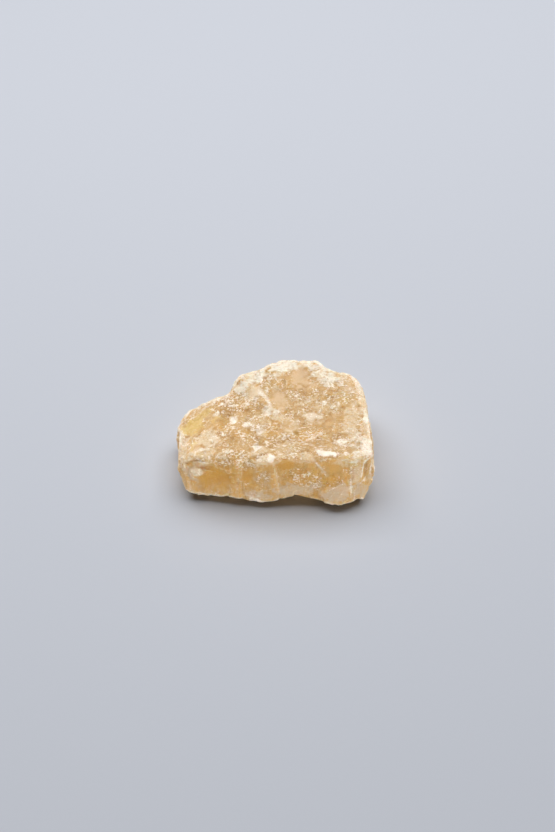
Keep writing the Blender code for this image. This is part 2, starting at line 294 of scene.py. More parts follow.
# Smooth breaks, without flecks or crumbs.
SMOOTH_MARKS = {
    "front_left": (214.0, 482.0, 25.0, 12.5, -8, 1.0),
    "middle_left": (249.0, 476.0, 6.0, 7.0, 0, 0.8),
    "front_top": (287.0, 466.0, 11.0, 5.0, 0, 1.0),
    "front_low": (296.0, 491.0, 20.0, 5.0, 0, 0.8),
    "facet": (338.0, 466.0, 14.0, 7.5, -10, 1.0),
    "facet_low": (331.0, 480.5, 7.0, 3.5, -15, 0.5),
    "shell": (335.0, 493.0, 15.0, 8.0, -8, 0.9),
    "window": (366.4, 468.6, 3.6, 9.0, 8, 1.0),
    "corner_low": (362.0, 491.0, 8.0, 9.0, 0, 0.8),
    "pentagon": (300.0, 378.6, 9.0, 12.0, 0, 1.0),
    "behind_riser": (280.0, 400.0, 7.0, 8.0, 0, 0.8),
    "riser": (254.3, 391.4, 9.0, 7.0, 20, 0.6),
    "pale_oval": (312.1, 416.4, 9.0, 4.0, 3, 0.8),
    "left_end": (192.0, 427.0, 11.0, 7.0, 0, 0.7),
    "lump": (197.1, 472.0, 6.0, 4.6, 0, 0.8),
    "left_slab": (200.0, 446.0, 11.0, 6.0, 0, 0.5),
    "behind_pentagon": (276.0, 376.0, 7.0, 4.0, 0, 0.6),
    "right_top": (330.0, 420.0, 14.0, 6.0, -20, 0.6),
    "middle_top": (290.0, 428.0, 9.0, 5.0, 10, 0.6),
    "left_middle_top": (216.0, 423.0, 9.0, 4.0, -20, 0.6),
}

# Where the white flecks lie thick.
SPRINKLED_MARKS = {
    "left_top": (236.0, 404.0, 22.0, 14.0, 20, 0.8),
    "left_middle": (243.0, 424.0, 26.0, 14.0, 15, 0.65),
    "ridge": (240.0, 457.0, 26.0, 7.0, 0, 0.9),
    "top_right": (325.0, 395.0, 26.0, 16.0, 20, 0.6),
    "middle": (300.0, 430.0, 28.0, 16.0, 10, 0.5),
    "back_left": (270.0, 378.0, 20.0, 7.0, -20, 0.7),
    "back_right": (335.0, 385.0, 24.0, 9.0, 20, 0.7),
    "front": (303.0, 477.0, 24.0, 10.0, 15, 0.9),
    "front_right": (316.0, 484.0, 12.0, 5.0, 0, 1.0),
    "middle_slab": (259.0, 479.0, 10.0, 12.0, 10, 0.9),
    "front_left_ridge": (228.0, 461.0, 24.0, 6.5, 0, 1.2),
    "middle_ridge": (250.0, 466.0, 12.0, 6.5, 0, 1.2),
    "top_centre": (280.0, 436.0, 30.0, 16.0, 5, 0.5),
    "left_row": (235.0, 411.0, 16.0, 4.0, -5, 1.1),
    "facet_low": (329.0, 482.0, 16.0, 7.0, 10, 0.8),
    "facet_right": (349.0, 466.0, 6.0, 9.0, 0, 0.8),
}

# The coloured marks, under the names of the masks that the material reads.
MARKS = {
    "white": WHITE_MARKS,
    "milky": MILKY_MARKS,
    "cream": CREAM_MARKS,
    "dull": DULL_MARKS,
    "yellow": YELLOW_MARKS,
    "pink": PINK_MARKS,
    "honey": HONEY_MARKS,
    "dashed": DASHED_MARKS,
    "sprinkled": SPRINKLED_MARKS,
}

# The fine mesh.
VOXEL_MM = 0.33
SMOOTHING_FACTOR = 0.5
SMOOTHING_STEPS = 5
FOOT_MM = 0.5  # the skin keeps still below this height
LOOSE_MM = 1.5  # and moves freely above this one

# Noises in the skin: the size of their lumps in millimetres, the stretch along X, Y and Z, a shift to another
# part of the noise, and the octaves.
EVEN = (1.0, 1.0, 1.0)
FIELDS = {
    "wear": (5.0, EVEN, 7.7, 2),
    "wobble": (1.6, (1.3, 1.0, 1.0), 4.4, 3),
    "terraces": (6.0, (1.6, 1.0, 1.0), 3.1, 3),
    "stria": (0.9, (1.0, 1.0, 9.0), 1.3, 2),
    "rough": (1.6, EVEN, 5.5, 3),
    "chips": (3.0, (1.5, 1.0, 1.0), 9.2, 2),
    "patchy": (7.0, EVEN, 6.6, 3),
}
OCTAVE_FADE = 1.0
OCTAVE_STEP = 2.0
# Broken crystals: their size in millimetres, how steep their tops are, and a shift.
SUGAR_CRYSTALS = (1.5, 0.16, 2.0)
COARSE_CRYSTALS = (3.4, 0.10, 8.0)
LEAN_DRAWS = ((7.3, 0), (5.1, 9), (3.7, 4))  # a factor and a shift for each axis that a top leans along

# The relief: how much of each kind there is, with heights in millimetres.
WEAR_MEAN, WEAR_CHANGE = 0.55, 0.45
TERRACE_COUNT = 3.5
TERRACE_RISER = (0.8, 1.0)  # the part of each terrace that its riser takes up
TERRACE_HEIGHT_MM = 0.12
STRIA_HEIGHT_MM = 0.03
ROUGH_HEIGHT_MM = 0.09
CHIP_DEPTH_MM = 0.45
COARSE_IN_FRONT = 0.3
SMOOTH_CALM = 0.9  # how much of the relief a smooth break loses
FRONT_CALM = 0.45  # and how smooth the fresh front counts as

# How far around it the skin is blurred for each of these, in steps from vertex to vertex.
CREST_HIGHLIGHT_STEPS = 3
NORMAL_STEPS = 12
EDGE_STEPS = 14
WEAR_STEPS = 16
RIDGE_STEPS = 40
WIDE_RIDGE_STEPS = 110

# Where each kind of skin starts and where it is full: parts of a unit normal, then values of a noise, and
# then, in millimetres, how far a ridge stands out or how high a place is.
SEEN = (-0.1, 0.15)
UPWARD = (0.35, 0.8)
FRONTWARD = (0.4, 0.85)
WEATHERED = (0.05, 0.4)
TURNED_BACK = (0.25, 0.6)
FRONT_RIDGE = (0.15, 0.4)
CHIPPED_NOISE = (0.0, 0.5)
PATCHY_NOISE = (-0.35, 0.25)
CHIPPED_RIDGE_MM = (0.08, 0.25)
WORN_RIDGE_MM = (0.1, 0.4)
FOOT_EDGE_MM = (0.03, 0.3)
RIM_MM = (0.12, 0.45)
LOW_MM = (1.5, 9.0)
BACK_DIRECTION = (0.5, 0.85, 0.0)

# How strong each kind of skin is in the masks. A pair is the strength in plain places and in patchy ones.
WEATHERED_STRENGTH = (0.15, 0.85)
RIM_VEIL = (0.5, 0.9)
BACK_VEIL = (0.6, 0.9)
CHIPPED_WHITE = 0.8
RIM_WHITE = 0.4
FOOT_EDGE_WHITE = 0.8
SPRINKLED_TOP = 0.3
LOW_FRONT_RIDGE_LOSS = 0.5


def link(name, data):
    made = bpy.data.objects.new(name, data)
    bpy.context.scene.collection.objects.link(made)
    return made


# --- the fine mesh ------------------------------------------------------------------------------------------

def fine_copy(node, name):
    """The node's shape, remeshed finely and smoothed just enough to lose its triangles."""
    made = link(name, node.data.copy())
    remesh = made.modifiers.new("fine", "REMESH")
    remesh.mode = "VOXEL"
    remesh.voxel_size = VOXEL_MM * MM
    smoothing = made.modifiers.new("smooth", "SMOOTH")
    smoothing.factor = SMOOTHING_FACTOR
    smoothing.iterations = SMOOTHING_STEPS
    graph = bpy.context.evaluated_depsgraph_get()
    fine = bpy.data.meshes.new_from_object(made.evaluated_get(graph))
    made.modifiers.clear()
    made.data = fine
    return made


def vertex_values(mesh, name):
    values = np.empty(3 * len(mesh.vertices), np.float32)
    mesh.vertices.foreach_get(name, values)
    return values.reshape(-1, 3).astype(float)


def move_vertices(mesh, points):
    mesh.vertices.foreach_set("co", points.astype(np.float32).ravel())
    mesh.update()


class Neighbours:
    """Averages over the vertices that share an edge with each vertex."""

    def __init__(self, mesh):
        pairs = np.empty(2 * len(mesh.edges), np.int32)
        mesh.edges.foreach_get("vertices", pairs)
        pairs = pairs.reshape(-1, 2)
        self.ends = np.concatenate([pairs[:, 0], pairs[:, 1]])
        self.others = np.concatenate([pairs[:, 1], pairs[:, 0]])
        self.size = len(mesh.vertices)
        self.count = np.bincount(self.ends, minlength=self.size)

    def average(self, values):
        if values.ndim == 1:
            return np.bincount(self.ends, values[self.others], self.size) / self.count
        return np.stack([self.average(column) for column in values.T], axis=1)

    def blurred(self, values, times):
        for _ in range(times):
            values = 0.5 * values + 0.5 * self.average(values)
        return values

    def bulge(self, points, normals, times):
        """How far each point stands out from its surroundings, in the points' unit."""
        return ((points - self.blurred(points, times)) * normals).sum(axis=1)


def smoothstep(low, high, values):
    t = np.clip((values - low) / (high - low), 0, 1)
    return t * t * (3 - 2 * t)


def between(start, end, share):
    return start + (end - start) * share


def field(points, size, stretch, offset, octaves):
    """Noise from about -1 to 1."""
    places = points / (size * np.array(stretch)) + offset
    return np.array([noise.fractal(Vector(p), OCTAVE_FADE, OCTAVE_STEP, octaves) for p in places])


def crystals(points, size, tilt, offset):
    """The height of broken crystals, each with its own flat and tilted top."""
    out = np.empty(len(points))
    for i, p in enumerate(points / size + offset):
        centre = noise.voronoi(Vector(p))[1][0]
        lean = Vector([noise.cell(centre * factor + Vector((shift,) * 3)) for factor, shift in LEAN_DRAWS])
        out[i] = (Vector(p) - centre).dot(lean)
    return out * size * tilt


class Marker:
    """Finds the skin that a mark covers. The mark's place is a pixel of the photograph."""

    LEAST_FORESHORTENING = 0.35
    LEAST_DEPTH = 6.0  # how many pixels a mark reaches above and below the skin in its middle

    # Where the edge of each kind of mark starts and ends, as parts of the mark's size, and how ragged it is.
    COVER_EDGE, COVER_WOBBLE = (0.55, 1.35), 0.6
    FLAKE_EDGE, FLAKE_WOBBLE = (0.75, 1.05), 0.3
    SCOOP_WOBBLE = 0.2

    LEDGE_END_MM = 0.8
    LEDGE_SKIN_MM = (1.5, 3.5)
    LEDGE_RISE_MM = 0.25
    LEDGE_FADE_MM = 5.0
    LEDGE_WOBBLE_MM = 0.12

    def __init__(self, points, faces, shown):
        self.points = points
        self.shown = shown
        self.tree = BVHTree.FromPolygons([Vector(p) * MM for p in points], faces)
        self.wobble = field(points, *FIELDS["wobble"])

    def place(self, u, v):
        """The place on the stone that the pixel shows, and the normal there."""
        across = (u - IMAGE_WIDTH / 2) / FOCAL_PIXELS
        upward = (IMAGE_HEIGHT / 2 - v) / FOCAL_PIXELS
        ray = -CAMERA_BACK + Vector((1, 0, 0)) * across + CAMERA_UP * upward
        return self.tree.ray_cast(CAMERA_PLACE, ray)[:2]

    def distance(self, u, v, half_width, half_height, tilt):
        """How far each point is from the mark's middle, where its edge is at 1."""
        hit, normal = self.place(u, v)
        right = (Vector((1, 0, 0)) - normal * normal.x).normalized()
        down = right.cross(normal).normalized()
        if down.dot(CAMERA_UP) > 0:
            down.negate()
        foreshortened = max(-down.dot(CAMERA_UP), self.LEAST_FORESHORTENING)
        away = (self.points - np.array(hit) / MM) * PIXELS_PER_MM
        a = away @ np.array(right)
        b = away @ np.array(down) * foreshortened
        turn = math.radians(tilt)
        along = (a * math.cos(turn) + b * math.sin(turn)) / half_width
        aslant = (b * math.cos(turn) - a * math.sin(turn)) / half_height
        depth = away @ np.array(normal) / max(self.LEAST_DEPTH, half_height)
        return np.sqrt(along ** 2 + aslant ** 2 + depth ** 2)

    def cover(self, u, v, half_width, half_height, tilt, strength):
        """The strength in the middle of the mark and 0 outside it, with a ragged edge."""
        distance = self.distance(u, v, half_width, half_height, tilt) + self.COVER_WOBBLE * self.wobble
        return strength * (1 - smoothstep(*self.COVER_EDGE, distance)) * self.shown

    def scoop(self, u, v, half_width, half_height, tilt, depth):
        distance = self.distance(u, v, half_width, half_height, tilt) + self.SCOOP_WOBBLE * self.wobble
        return -depth * np.clip(1 - distance ** 2, 0, 1) * self.shown

    def flake(self, u, v, half_width, half_height, tilt, height):
        distance = self.distance(u, v, half_width, half_height, tilt) + self.FLAKE_WOBBLE * self.wobble
        return height * (1 - smoothstep(*self.FLAKE_EDGE, distance)) * self.shown

    def ledge(self, u, v, end_u, end_v, height):
        """A crisp step along the line between two pixels, which dies away on both sides and past its ends."""
        start, normal = self.place(u, v)
        end = self.place(end_u, end_v)[0]
        along = (end - start) / MM
        length = along.length
        along.normalize()
        right = np.array(along.cross(normal).normalized())
        away = self.points - np.array(start) / MM
        aslant = away @ right + self.LEDGE_WOBBLE_MM * self.wobble
        passed = away @ np.array(along)
        begun = smoothstep(-self.LEDGE_END_MM, self.LEDGE_END_MM, passed)
        ended = smoothstep(length - self.LEDGE_END_MM, length + self.LEDGE_END_MM, passed)
        near_skin = 1 - smoothstep(*self.LEDGE_SKIN_MM, np.abs(away @ np.array(normal)))
        rise = smoothstep(-self.LEDGE_RISE_MM, self.LEDGE_RISE_MM, aslant)
        fade = (aslant > 0) * smoothstep(self.LEDGE_RISE_MM, self.LEDGE_FADE_MM, aslant)
        return -height * (rise - fade) * begun * (1 - ended) * near_skin * self.shown

    def covers(self, marks):
        out = np.zeros(len(self.points))
        for mark in marks.values():
            out = np.maximum(out, self.cover(*mark))
        return out


class Skin:
    """The stone's skin: its points in millimetres, its relief, and where its colour and gloss change."""

    def __init__(self, mesh):
        self.mesh = mesh
        self.near = Neighbours(mesh)
        self.points = vertex_values(mesh, "co") / MM
        self.loose = smoothstep(FOOT_MM, LOOSE_MM, self.points[:, 2])
        self.wear_down()
        self.normals = vertex_values(mesh, "normal")
        self.ridge = self.near.bulge(self.points, self.normals, RIDGE_STEPS)
        self.wide_ridge = self.near.bulge(self.points, self.normals, WIDE_RIDGE_STEPS)
        faces = [tuple(face.vertices) for face in mesh.polygons]
        self.marker = Marker(self.points, faces, self.seen())
        self.smooth = self.marker.covers(SMOOTH_MARKS)
        self.upward = smoothstep(*UPWARD, self.normals[:, 2])
        self.frontward = smoothstep(*FRONTWARD, -self.normals[:, 1])
        self.rugged = 1 - SMOOTH_CALM * np.maximum(self.smooth, FRONT_CALM * self.frontward)
        chips = smoothstep(*CHIPPED_NOISE, field(self.points, *FIELDS["chips"]))
        self.chipped = smoothstep(*CHIPPED_RIDGE_MM, self.ridge) * chips

    def wear_down(self):
        """Rubs the stone's ridges, in some places more than in others."""
        wear = WEAR_MEAN + WEAR_CHANGE * field(self.points, *FIELDS["wear"])
        rubbed = self.near.blurred(self.points, WEAR_STEPS) - self.points
        self.points = self.points + rubbed * (np.clip(wear, 0, 1) * self.loose)[:, None]
        move_vertices(self.mesh, self.points * MM)

    def seen(self):
        """1 where the skin faces the camera and 0 where it faces away."""
        to_camera = np.array(CAMERA_PLACE) / MM - self.points
        to_camera /= np.linalg.norm(to_camera, axis=1)[:, None]
        broad_normals = self.near.blurred(self.normals, NORMAL_STEPS)
        return smoothstep(*SEEN, (broad_normals * to_camera).sum(axis=1))

    def relief(self):
        """How far the break, the chips and the marked forms move the skin out, in millimetres."""
        terrace = TERRACE_COUNT * field(self.points, *FIELDS["terraces"])
        step = np.floor(terrace) + smoothstep(*TERRACE_RISER, terrace - np.floor(terrace))
        sugar = crystals(self.points, *SUGAR_CRYSTALS)
        coarse = crystals(self.points, *COARSE_CRYSTALS)
        stria = field(self.points, *FIELDS["stria"])
        rough = field(self.points, *FIELDS["rough"])
        out = self.rugged * (TERRACE_HEIGHT_MM * step - TERRACE_HEIGHT_MM * terrace + sugar + coarse)
        out += self.frontward * (STRIA_HEIGHT_MM * stria + COARSE_IN_FRONT * coarse)
        out += ROUGH_HEIGHT_MM * rough * self.rugged
        out -= CHIP_DEPTH_MM * self.chipped
        carvings = ((SCOOPS, self.marker.scoop), (FLAKES, self.marker.flake), (LEDGES, self.marker.ledge))
        for marks, carve in carvings:
            for mark in marks.values():
                out += carve(*mark)
        return out

    def break_up(self):
        """Gives the mesh its relief."""
        self.points = self.points + self.normals * (self.relief() * self.loose)[:, None]
        self.points[:, 2] = np.clip(self.points[:, 2], 0, None)
        self.marker.points = self.points  # the coloured marks lie on the skin as it now is
        move_vertices(self.mesh, self.points * MM)
        self.mesh.polygons.foreach_set("use_smooth", np.ones(len(self.mesh.polygons), bool))

    def masks(self):
        """Where the stone's look changes, as one value for each point in each mask."""
        fine_normals = vertex_values(self.mesh, "normal")
        outward = self.near.blurred(self.normals, RIDGE_STEPS)
        backward = outward @ BACK_DIRECTION
        low = 1 - smoothstep(*LOW_MM, self.points[:, 2])
        patchy = smoothstep(*PATCHY_NOISE, field(self.points, *FIELDS["patchy"]))
        front_ridge = smoothstep(*FRONT_RIDGE, -outward[:, 1]) * (1 - LOW_FRONT_RIDGE_LOSS * low)
        rim = smoothstep(*RIM_MM, self.wide_ridge) * (1 - front_ridge) * (1 - self.marker.covers(FRESH_MARKS))
        weathered = smoothstep(*WEATHERED, backward) * between(*WEATHERED_STRENGTH, patchy)
        turned_back = smoothstep(*TURNED_BACK, backward) * smoothstep(*TURNED_BACK, outward[:, 2])
        foot_edge = low * self.frontward * smoothstep(*FOOT_EDGE_MM, self.ridge)
        chipped_white = CHIPPED_WHITE * self.chipped * (1 - self.smooth)

        masks = {name: self.marker.covers(marks) for name, marks in MARKS.items()}
        unmarked = {
            "white": (chipped_white, RIM_WHITE * rim, FOOT_EDGE_WHITE * foot_edge),
            "milky": (rim * between(*RIM_VEIL, patchy), turned_back * between(*BACK_VEIL, patchy)),
            "cream": (weathered, rim),
            "sprinkled": (SPRINKLED_TOP * self.upward,),
        }
        for name, others in unmarked.items():
            masks[name] = np.maximum.reduce([masks[name], *others])
        masks["sprinkled"] *= 1 - self.smooth
        masks["smooth"] = self.smooth
        # Small crests, which get a painted highlight along the step edges.
        masks["crest_highlight"] = self.near.bulge(self.points, fine_normals, CREST_HIGHLIGHT_STEPS)
        masks["edge"] = self.near.bulge(self.points, fine_normals, EDGE_STEPS)
        masks["edge"] *= smoothstep(*WORN_RIDGE_MM, self.ridge)
        masks["low"] = self.frontward * low
        masks["front"] = self.frontward
        return masks


def store(mesh, masks):
    """Puts the masks where the material reads them."""
    for name, values in masks.items():
        attribute = mesh.attributes.new(name, "FLOAT", "POINT")
        attribute.data.foreach_set("value", values.astype(np.float32))


# --- the material -------------------------------------------------------------------------------------------

# The first colour, a brown, is painted shade: the small shadows between the white flecks.
FLECK_SHADE_BROWN = (0.40, 0.20, 0.04, 1)
AMBER = (0.65, 0.352, 0.065, 1)
HONEY = (0.72, 0.43, 0.12, 1)
TAN = (0.475, 0.258, 0.072, 1)
PALE_TAN = (0.585, 0.368, 0.152, 1)
GOLD = (0.54, 0.32, 0.075, 1)
YELLOW = (0.67, 0.465, 0.14, 1)
PINK = (0.69, 0.485, 0.28, 1)
CREAM = (0.76, 0.61, 0.41, 1)
DULL = (0.66, 0.52, 0.36, 1)
MILK = (0.9, 0.855, 0.73, 1)
WHITE = (1.0, 0.88, 0.74, 1)

# Noises in the stone: a shift, the stretch along X, Y and Z (a small number is a long stretch), the scale per
# millimetre, the detail and the roughness.
NOISES = {
    "patches": (0.0, EVEN, 0.16, 4, 0.55),
    "blotches": (5.0, (0.7, 1.0, 1.0), 0.28, 3, 0.6),
    "ragged": (0.0, EVEN, 0.6, 5, 0.7),
    "fibres": (0.0, (0.3, 1.0, 1.0), 1.6, 5, 0.65),
    "upright": (0.0, (1.0, 1.0, 0.12), 0.5, 4, 0.6),
    "streaks": (0.0, (1.0, 1.0, 0.08), 1.6, 4, 0.6),
    "clusters": (0.0, EVEN, 0.30, 2, 0.55),
    "flecks": (0.0, (0.6, 1.0, 1.0), 2.0, 2, 0.6),
    "dashes": (2.0, (0.22, 1.0, 1.0), 2.1, 3, 0.6),
    "curls": (4.0, (0.6, 1.0, 1.0), 1.0, 1, 0.5),
    "curl_ends": (11.0, EVEN, 0.8, 2, 0.55),
    # The next noise places the painted shade between the flecks.
    "fleck_shade": (7.0, (0.45, 1.0, 1.0), 2.0, 3, 0.7),
    "grain": (0.0, EVEN, 2.2, 3, 0.7),
}

# Fades. The first two numbers are the values of a noise or a mask that the fade starts and ends at, and the
# next two are what it gives there, or 0 and 1 where they are left out.
PALE_PATCHES = (0.40, 0.60)
RUGGED = (0.1, 0.8, 1.0, 0.1)  # by the smooth mask
SUGARY_BY_FRONT = (0.0, 1.0, 1.0, 0.4)
FIBRES_BY_FRONT = (0.0, 1.0, 1.0, 0.3)
DOTS_BY_FRONT = (0.0, 1.0, 0.92, 0.7)
FLECK_SHADE_BY_SPRINKLED = (0.0, 1.0, 0.3, 1.0)
CURLS_BY_SPRINKLED = (0.1, 0.5, 0.0, 0.9)
FLECK_CLUSTERS = (0.3, 0.7, -0.12, 0.07)
DOT_CLUSTERS = (0.35, 0.65, 0.02, 0.3)
FLECKS = (0.63, 0.69, 0.0, 0.88)
CURL_WIDTH = (0.01, 0.05, 1.0, 0.0)
CURLS = (0.55, 0.63)
DASHES = (0.67, 0.74, 0.0, 0.8)
DOT_EDGE = (-0.06, 0.0, 1.0, 0.0)
WORN_GRAIN = (0.3, 0.7, -0.05, 0.05)
WORN_EDGES = (0.06, 0.16, 0.0, 0.85)
CRUMBS = (0.7, 1.3, -1.4, 0.0)
BRUISES = (0.1, 0.7)
PALE_BRUISES = (0.1, 0.9, 0.0, 0.5)
TINT_RAGGED = (0.3, 0.7, -0.3, 0.3)
TINT_EDGE = (0.1, 0.9)
VEIL_RAGGED = (0.3, 0.7, -0.25, 0.15)
VEIL_FIBRES = (0.38, 0.62, 0.1, -0.4)
VEIL = (0.0, 1.0, 0.0, 0.85)
ROUGHNESS_BY_GRAIN = (0.3, 0.7, 0.25, 0.5)
SCATTER_BY_WHITENESS = (0.0, 1.0, 1.0, 0.5)
SCATTER_BY_FRONT = (0.0, 1.0, 0.65, 0.85)

# Coats of colour, from the lowest up: the mask that the coat lies in, the noise that breaks it up, a fade of
# that noise, and the colour.
LOWER_COATS = (
    ("everywhere", "blotches", 0.50, 0.66, 0.0, 0.6, GOLD),
    ("front", "upright", 0.38, 0.62, 1.0, 0.45, HONEY),
    ("less_in_front", "fibres", 0.48, 0.75, 0.0, 0.3, CREAM),
)
# The marked places: the mask, its colour and how much of the colour shows where the mask is full.
TINTS = (
    ("cream", CREAM, 0.85),
    ("dull", DULL, 0.9),
    ("yellow", YELLOW, 0.9),
    ("pink", PINK, 0.85),
    ("honey", AMBER, 0.8),
)
UPPER_COATS = (
    ("low", "streaks", 0.35, 0.65, 0.1, 0.55, DULL),
    ("rugged_front", "streaks", 0.5, 0.64, 0.0, 0.3, CREAM),
    ("front", "streaks", 0.34, 0.48, 0.35, 0.0, AMBER),
    ("sugary", "grain", 0.36, 0.52, 0.65, 0.0, AMBER),
    ("sugary", "grain", 0.5, 0.65, 0.0, 0.3, CREAM),
    # Cream on the small crests: a painted highlight where the step edges catch the light.
    ("everywhere", "crest_highlight", 0.02, 0.08, 0.0, 0.5, CREAM),
    # Brown specks in the sprinkled skin: painted shade in the gaps between the white flecks.
    ("sprinkled_fleck_shade", "fleck_shade", 0.53, 0.63, 0.0, 0.5, FLECK_SHADE_BROWN),
)

# How much more the flecks show where the skin is sprinkled, dashed or bruised, and how much less in front.
SPRINKLED_FLECKS = 0.10
SPRINKLED_DOTS = 0.35
DASHED_GAIN = 0.12
BRUISE_GAIN = 1.6
FEWER_FLECKS_IN_FRONT = 0.04
FEWER_DASHES_IN_FRONT = 0.3
CURL_LEVEL = 0.5  # curls run where their noise has this value

# Dots: two sizes of them, as cells per millimetre, each with a shift, and the noise that pushes them about.
DOT_SIZES = ((1.5, 0.0), (2.3, 6.0))
DOT_STRETCH = (0.65, 1.0, 1.0)
DOT_PUSH_SCALE = 1.3
DOT_PUSH_DETAIL = 2.0
DOT_PUSH = (1.1, 1.1, 1.1)
DOT_GROWTH = 1.2
DOT_RADIUS = 0.34

# The fine relief, and how light goes into the stone.
FACET_SCALE = 1.0
FACET_SHIFT = 3.0
MIDDLE_COLOUR = (0.5, 0.5, 0.5)
GRAIN_HEIGHT = 0.3
WHITE_HEIGHT = 0.25
BUMP_STRENGTH = 0.8
BUMP_DISTANCE = 0.0005
SCATTER_RADIUS = (1.0, 0.75, 0.5)
SCATTER_SCALE = 0.0025
REFRACTION = 1.62
SPECULAR = 0.3


class Nodes:
    """Adds shader nodes and links them, one call to a node."""

    def __init__(self, material):
        material.use_nodes = True
        self.tree = material.node_tree
        self.shader = self.tree.nodes["Principled BSDF"]

    def add(self, kind, inputs=(), **settings):
        node = self.tree.nodes.new(kind)
        for name, value in settings.items():
            setattr(node, name, value)
        for name, value in dict(inputs).items():
            self.put(node.inputs[name], value)
        return node

    def put(self, socket, value):
        if isinstance(value, bpy.types.NodeSocket):
            self.tree.links.new(value, socket)
        else:
            socket.default_value = value

    def shade(self, name, value):
        self.put(self.shader.inputs[name], value)

    def attribute(self, name):
        return self.add("ShaderNodeAttribute", attribute_name=name).outputs["Fac"]

    def vector(self, operation, *values):
        return self.add("ShaderNodeVectorMath", dict(enumerate(values)), operation=operation)

    def moved(self, place, distance):
        return self.vector("ADD", place, (distance,) * 3).outputs[0]

    def noise(self, place, shift, stretch, scale, detail, roughness):
        where = self.vector("MULTIPLY", self.moved(place, shift), stretch).outputs[0]
        inputs = {"Vector": where, "Scale": scale, "Detail": detail, "Roughness": roughness}
        return self.add("ShaderNodeTexNoise", inputs).outputs["Fac"]

    def math(self, operation, *values):
        return self.add("ShaderNodeMath", dict(enumerate(values)), operation=operation).outputs[0]

    def sum(self, *values):
        return self.folded("ADD", values)

    def product(self, *values):
        return self.folded("MULTIPLY", values)

    def less(self, value, taken):
        return self.math("SUBTRACT", value, taken)

    def most(self, *values):
        return self.folded("MAXIMUM", values)

    def folded(self, operation, values):
        """The first two values put together, then the result and the third, and so on."""
        out = values[0]
        for value in values[1:]:
            out = self.math(operation, out, value)
        return out

    def bump(self, height, strength, distance):
        inputs = {"Height": height, "Strength": strength, "Distance": distance}
        return self.add("ShaderNodeBump", inputs).outputs[0]

    def range(self, value, low, high, to_low=0.0, to_high=1.0):
        inputs = {"Value": value, "From Min": low, "From Max": high, "To Min": to_low, "To Max": to_high}
        return self.add("ShaderNodeMapRange", inputs, interpolation_type="SMOOTHSTEP").outputs["Result"]

    def mix(self, factor, first, second):
        node = self.add("ShaderNodeMix", data_type="RGBA")
        self.put(node.inputs[0], factor)
        self.put(node.inputs[6], first)
        self.put(node.inputs[7], second)
        return node.outputs[2]


def facets(n, place):
    """The height of small broken crystals, each with its own flat and tilted top."""
    moved = n.moved(place, FACET_SHIFT)
    cells = n.add("ShaderNodeTexVoronoi", {"Vector": moved, "Scale": FACET_SCALE})
    away = n.vector("SUBTRACT", moved, cells.outputs["Position"]).outputs[0]
    lean = n.vector("SUBTRACT", cells.outputs["Color"], MIDDLE_COLOUR).outputs[0]
    return n.vector("DOT_PRODUCT", away, lean).outputs["Value"]


def dots(n, place, share, scale):
    """Small separate flecks in the given share of the places where one can be."""
    push_inputs = {"Vector": place, "Scale": DOT_PUSH_SCALE, "Detail": DOT_PUSH_DETAIL}
    push = n.add("ShaderNodeTexNoise", push_inputs).outputs["Color"]
    pushed = n.vector("MULTIPLY_ADD", push, DOT_PUSH, place).outputs[0]
    where = n.vector("MULTIPLY", pushed, DOT_STRETCH).outputs[0]
    cells = n.add("ShaderNodeTexVoronoi", {"Vector": where, "Scale": scale})
    drawn = n.add("ShaderNodeSeparateColor", {0: cells.outputs["Color"]}).outputs[0]
    passed = n.less(drawn, n.less(1.0, share))
    radius = n.math("MINIMUM", n.product(passed, DOT_GROWTH), DOT_RADIUS)
    return n.range(n.less(cells.outputs["Distance"], radius), *DOT_EDGE)


def coated(n, colour, coats, masks, noises):
    """The colour with the coats over it, the last one on top."""
    for mask, pattern, low, high, at_low, at_high, tint in coats:
        strength = n.range(noises[pattern], low, high, at_low, at_high)
        if mask != "everywhere":
            strength = n.product(masks[mask], strength)
        colour = n.mix(strength, colour, tint)
    return colour


def ground_colour(n, masks, noises):
    """The stone's colour under its white flecks and bruises, with painted shade between the flecks and a
    painted highlight on the small crests.
    """
    colour = n.mix(n.range(noises["patches"], *PALE_PATCHES), TAN, PALE_TAN)
    colour = coated(n, colour, LOWER_COATS, masks, noises)
    ragged = n.range(noises["ragged"], *TINT_RAGGED)
    for name, tint, most in TINTS:
        covered = n.sum(n.attribute(name), ragged)
        colour = n.mix(n.range(covered, *TINT_EDGE, 0.0, most), colour, tint)
    return coated(n, colour, UPPER_COATS, masks, noises)


def fleck_whiteness(n, place, masks, noises):
    """How white the flecks, dots, curls and dashes of the sugary break make it."""
    front, sprinkled = masks["front"], masks["sprinkled"]
    thick = n.sum(n.product(sprinkled, SPRINKLED_FLECKS), n.range(noises["clusters"], *FLECK_CLUSTERS))
    thick = n.less(thick, n.product(front, FEWER_FLECKS_IN_FRONT))
    flecked = n.range(n.sum(noises["flecks"], thick), *FLECKS)
    share = n.sum(n.product(sprinkled, SPRINKLED_DOTS), n.range(noises["clusters"], *DOT_CLUSTERS))
    dotted = n.most(*(dots(n, n.moved(place, shift), share, scale) for scale, shift in DOT_SIZES))
    dotted = n.product(dotted, n.range(front, *DOTS_BY_FRONT))
    thin = n.range(n.math("ABSOLUTE", n.less(noises["curls"], CURL_LEVEL)), *CURL_WIDTH)
    curled = n.product(thin, n.range(n.sum(noises["curl_ends"], thick), *CURLS))
    curled = n.product(curled, n.range(sprinkled, *CURLS_BY_SPRINKLED))
    dashed = n.sum(noises["dashes"], n.product(n.attribute("dashed"), DASHED_GAIN))
    dashed = n.range(n.less(dashed, n.product(front, FEWER_DASHES_IN_FRONT)), *DASHES)
    return n.product(n.most(flecked, dotted, curled, dashed), masks["rugged"])


